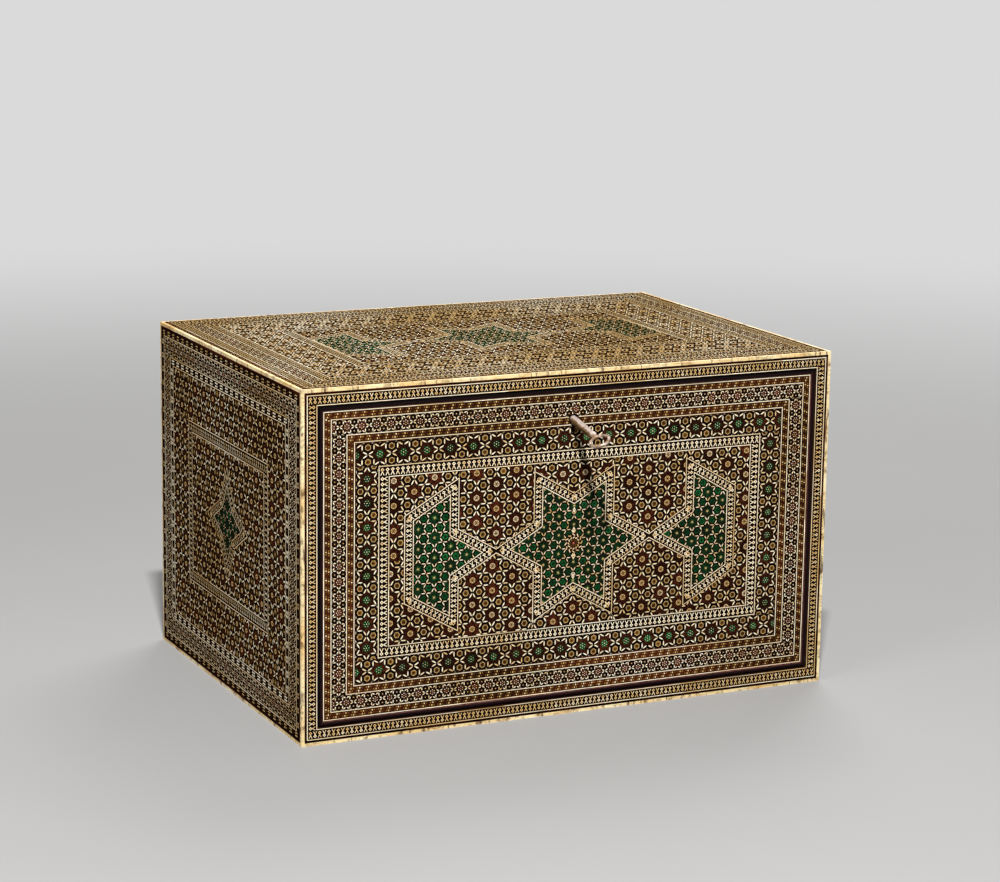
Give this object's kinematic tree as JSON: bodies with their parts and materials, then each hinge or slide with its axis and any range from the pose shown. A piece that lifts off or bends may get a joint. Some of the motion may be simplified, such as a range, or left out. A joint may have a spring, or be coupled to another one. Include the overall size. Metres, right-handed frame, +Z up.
{
  "type": "table cabinet",
  "caption": "Inlaid wooden table cabinet with bone edging, a fall front on pivots with a till lock and key, and a nest of drawers behind it.",
  "frame": {"origin": "centre of the footprint, on the underside of the bottom board", "axes": "+X along the width towards the right of someone facing the front, the fall front faces -Y, +Z up"},
  "size_m": [0.53, 0.44, 0.32],
  "materials": {
    "carcase_wood": "satin, covered with inlay outside",
    "front_wood": "satin, covered with inlay outside",
    "moulding_wood": "polished dark hardwood",
    "nest_wood": "waxed",
    "drawer_wood": "polished, inlaid",
    "bone": "aged, polished",
    "iron": "worn grey iron"
  },
  "bodies": {
    "carcase": {"top_board": "carcase_wood", "bottom_board": "carcase_wood", "left_side": "carcase_wood", "right_side": "carcase_wood", "back_panel": "carcase_wood", "front_edging": "bone", "back_edging": "bone", "left_lower_edging": "bone", "left_upper_edging": "bone", "right_lower_edging": "bone", "right_upper_edging": "bone", "strike_plate": "iron", "nest_left_upright": "nest_wood", "nest_right_upright": "nest_wood", "nest_sill": "nest_wood", "nest_floor": "nest_wood", "nest_lower_shelf": "nest_wood", "nest_upper_shelf": "nest_wood", "nest_bottom_partition": "nest_wood", "nest_left_partition": "nest_wood", "nest_right_partition": "nest_wood", "nest_top_partition": "nest_wood", "left_pivot_socket": "iron", "right_pivot_socket": "iron"},
    "fall_front": {"fall_front_panel": "front_wood", "fall_front_moulding": "moulding_wood", "left_pivot": "iron", "right_pivot": "iron", "lock_case": "iron", "lock_cover": "iron"},
    "bolt": {"lock_bolt": "iron"},
    "key": {"key": "iron"},
    "lower_left_drawer": {"lower_left_drawer_front": "drawer_wood", "lower_left_drawer_tray": "nest_wood", "lower_left_drawer_bottom": "nest_wood", "lower_left_drawer_knob": "bone"},
    "lower_right_drawer": {"lower_right_drawer_front": "drawer_wood", "lower_right_drawer_tray": "nest_wood", "lower_right_drawer_bottom": "nest_wood", "lower_right_drawer_knob": "bone"},
    "middle_left_drawer": {"middle_left_drawer_front": "drawer_wood", "middle_left_drawer_tray": "nest_wood", "middle_left_drawer_bottom": "nest_wood", "middle_left_drawer_knob": "bone"},
    "centre_drawer": {"centre_drawer_front": "drawer_wood", "centre_drawer_tray": "nest_wood", "centre_drawer_bottom": "nest_wood", "centre_drawer_knob": "bone"},
    "middle_right_drawer": {"middle_right_drawer_front": "drawer_wood", "middle_right_drawer_tray": "nest_wood", "middle_right_drawer_bottom": "nest_wood", "middle_right_drawer_knob": "bone"},
    "upper_left_drawer": {"upper_left_drawer_front": "drawer_wood", "upper_left_drawer_tray": "nest_wood", "upper_left_drawer_bottom": "nest_wood", "upper_left_drawer_knob": "bone"},
    "upper_right_drawer": {"upper_right_drawer_front": "drawer_wood", "upper_right_drawer_tray": "nest_wood", "upper_right_drawer_bottom": "nest_wood", "upper_right_drawer_knob": "bone"}
  },
  "joints": [
    {"name": "fall_front_hinge", "type": "hinge", "parent": "carcase", "child": "fall_front", "pos_m": [0, -0.183, 0.02219], "axis": [1, 0, 0], "range_deg": [0, 93.4]},
    {"name": "key_turn", "type": "hinge", "parent": "fall_front", "child": "key", "pos_m": [-0.002, -0.1868, 0.274], "axis": [0, 0.9885, 0.1513], "range_deg": [0, 60]},
    {"name": "bolt_throw", "type": "slide", "parent": "fall_front", "child": "bolt", "axis": [0, 0, 1], "range_m": [0, 0.00775]},
    {"name": "lower_left_drawer_slide", "type": "slide", "parent": "carcase", "child": "lower_left_drawer", "axis": [0, -1, 0], "range_m": [0, 0.04]},
    {"name": "lower_right_drawer_slide", "type": "slide", "parent": "carcase", "child": "lower_right_drawer", "axis": [0, -1, 0], "range_m": [0, 0.04]},
    {"name": "middle_left_drawer_slide", "type": "slide", "parent": "carcase", "child": "middle_left_drawer", "axis": [0, -1, 0], "range_m": [0, 0.1957]},
    {"name": "centre_drawer_slide", "type": "slide", "parent": "carcase", "child": "centre_drawer", "axis": [0, -1, 0], "range_m": [0, 0.1957]},
    {"name": "middle_right_drawer_slide", "type": "slide", "parent": "carcase", "child": "middle_right_drawer", "axis": [0, -1, 0], "range_m": [0, 0.1957]},
    {"name": "upper_left_drawer_slide", "type": "slide", "parent": "carcase", "child": "upper_left_drawer", "axis": [0, -1, 0], "range_m": [0, 0.2446]},
    {"name": "upper_right_drawer_slide", "type": "slide", "parent": "carcase", "child": "upper_right_drawer", "axis": [0, -1, 0], "range_m": [0, 0.2446]}
  ],
  "couplings": [
    {"joint": "bolt_throw", "follows": "key_turn", "m_per_rad": 0.0074},
    {"joint": "lower_left_drawer_slide", "follows": "fall_front_hinge", "m_per_rad": 0.0245},
    {"joint": "lower_right_drawer_slide", "follows": "fall_front_hinge", "m_per_rad": 0.0245},
    {"joint": "middle_left_drawer_slide", "follows": "fall_front_hinge", "m_per_rad": 0.12},
    {"joint": "centre_drawer_slide", "follows": "fall_front_hinge", "m_per_rad": 0.12},
    {"joint": "middle_right_drawer_slide", "follows": "fall_front_hinge", "m_per_rad": 0.12},
    {"joint": "upper_left_drawer_slide", "follows": "fall_front_hinge", "m_per_rad": 0.15},
    {"joint": "upper_right_drawer_slide", "follows": "fall_front_hinge", "m_per_rad": 0.15}
  ]
}
